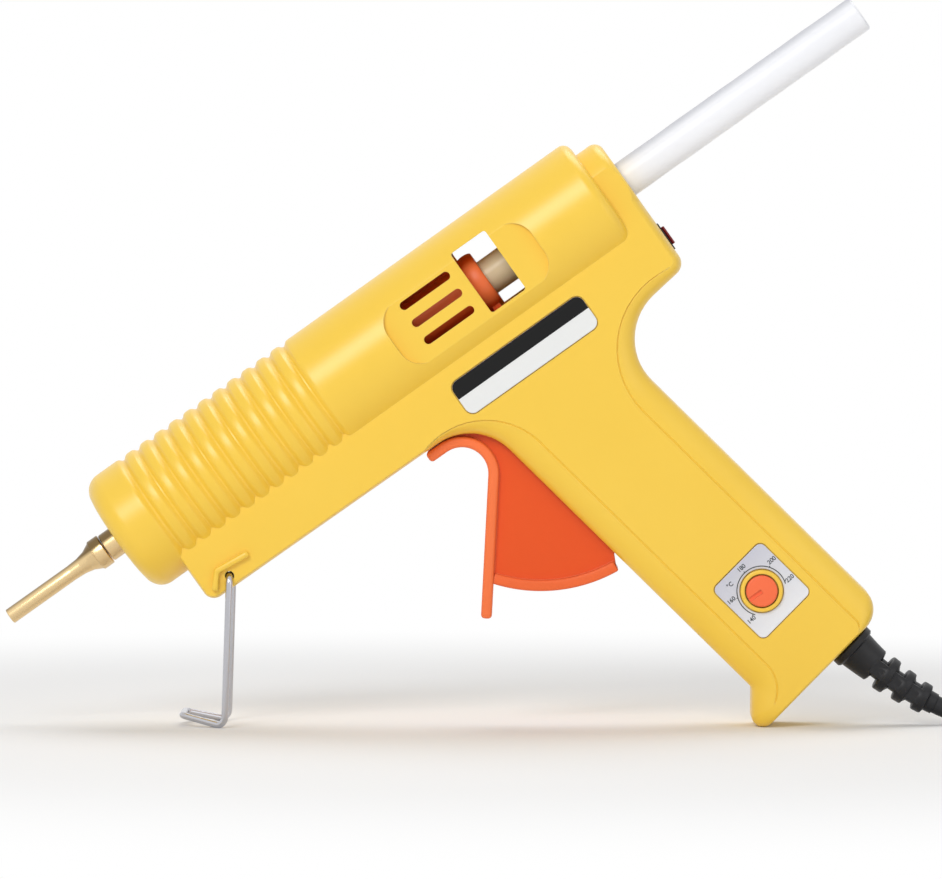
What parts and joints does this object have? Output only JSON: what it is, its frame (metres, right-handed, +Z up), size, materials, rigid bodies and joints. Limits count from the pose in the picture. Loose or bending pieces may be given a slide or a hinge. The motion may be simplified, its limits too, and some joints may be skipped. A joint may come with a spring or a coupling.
{
  "type": "hot glue gun",
  "caption": "Corded hot glue gun with ribbed barrel, brass nozzle, sprung trigger feeding a glue stick, heat dial, rear rocker switch and fold-out wire stand.",
  "frame": {"origin": "on the bench, under the middle of the gun's box without the free cord", "axes": "+X from the nozzle towards the glue stick's end, +Y from the dial side to the screw side, +Z up, with the gun leaning on its stand"},
  "size_m": [0.4574, 0.0386, 0.2135],
  "materials": {
    "yellow_plastic": "satin moulded plastic, warm yellow",
    "orange_plastic": "satin moulded plastic, orange",
    "dial_orange": "satin moulded plastic, light orange",
    "nozzle_brass": "turned brass",
    "stand_wire": "bright drawn wire",
    "screw_steel": "zinc-plated steel",
    "cast_chamber": "cast aluminium",
    "heater_ceramic": "matt ceramic",
    "sleeve_silicone": "matt silicone",
    "glue": "cloudy translucent hot-melt glue",
    "board_green": "lacquered circuit board",
    "black_plastic": "matt black plastic",
    "cord_rubber": "matt black sheath",
    "switch_red": "dark red rocker",
    "dial_silver": "silver printed foil",
    "plate_white": "bare printed plate, black above and white below"
  },
  "bodies": {
    "housing": {"left_housing": "yellow_plastic", "right_housing": "yellow_plastic", "housing_screw_1": "screw_steel", "housing_screw_2": "screw_steel", "housing_screw_3": "screw_steel", "housing_screw_4": "screw_steel", "housing_screw_5": "screw_steel", "housing_screw_6": "screw_steel", "nozzle": "nozzle_brass", "nozzle_adapter": "nozzle_brass", "melt_chamber": "cast_chamber", "heating_element": "heater_ceramic", "front_heater_bracket": "screw_steel", "rear_heater_bracket": "screw_steel", "thermal_cutout": "screw_steel", "feed_sleeve": "sleeve_silicone", "sleeve_clamp": "screw_steel", "trigger_pin": "screw_steel", "return_spring": "screw_steel", "potentiometer": "black_plastic", "circuit_board": "board_green", "dial_plate": "dial_silver", "name_plate": "plate_white", "switch_body": "black_plastic", "strain_relief": "cord_rubber", "cord_lead": "cord_rubber", "cord_coil": "cord_rubber", "cord_tail": "cord_rubber", "plug_body": "black_plastic", "plug_pin_left": "screw_steel", "plug_pin_right": "screw_steel"},
    "trigger_lever": {"trigger": "orange_plastic"},
    "carriage": {"feed_carriage": "orange_plastic", "clamp_pawl": "screw_steel", "pawl_pin": "screw_steel"},
    "stick": {"glue_stick": "glue"},
    "stand": {"wire_stand": "stand_wire"},
    "knob": {"dial_knob": "dial_orange"},
    "rocker": {"switch_rocker": "switch_red"}
  },
  "joints": [
    {"name": "trigger_pivot", "type": "hinge", "parent": "housing", "child": "trigger_lever", "pos_m": [0.01987, 0, 0.08593], "axis": [0, -1, 0], "range_deg": [0, 22], "stiffness_Nm_per_rad": 0.15, "springref_deg": -28.65},
    {"name": "carriage_slide", "type": "slide", "parent": "housing", "child": "carriage", "axis": [-0.8151, 0, -0.5793], "range_m": [0, 0.013]},
    {"name": "glue_stick_slide", "type": "slide", "parent": "housing", "child": "stick", "axis": [0.8151, 0, 0.5793], "range_m": [-0.04, 0.112]},
    {"name": "stand_fold", "type": "hinge", "parent": "housing", "child": "stand", "pos_m": [-0.07113, 0, 0.04464], "axis": [0, -1, 0], "range_deg": [0, 118]},
    {"name": "dial_turn", "type": "hinge", "parent": "housing", "child": "knob", "pos_m": [0.08452, -0.0128, 0.04031], "axis": [0, -1, 0], "range_deg": [-135, 135]},
    {"name": "switch_rock", "type": "hinge", "parent": "housing", "child": "rocker", "pos_m": [0.05644, 0, 0.14365], "axis": [-0.5793, 0, 0.8151], "range_deg": [-12, 0]}
  ],
  "couplings": [
    {"joint": "carriage_slide", "follows": "trigger_pivot", "m_per_rad": 0.03379}
  ]
}
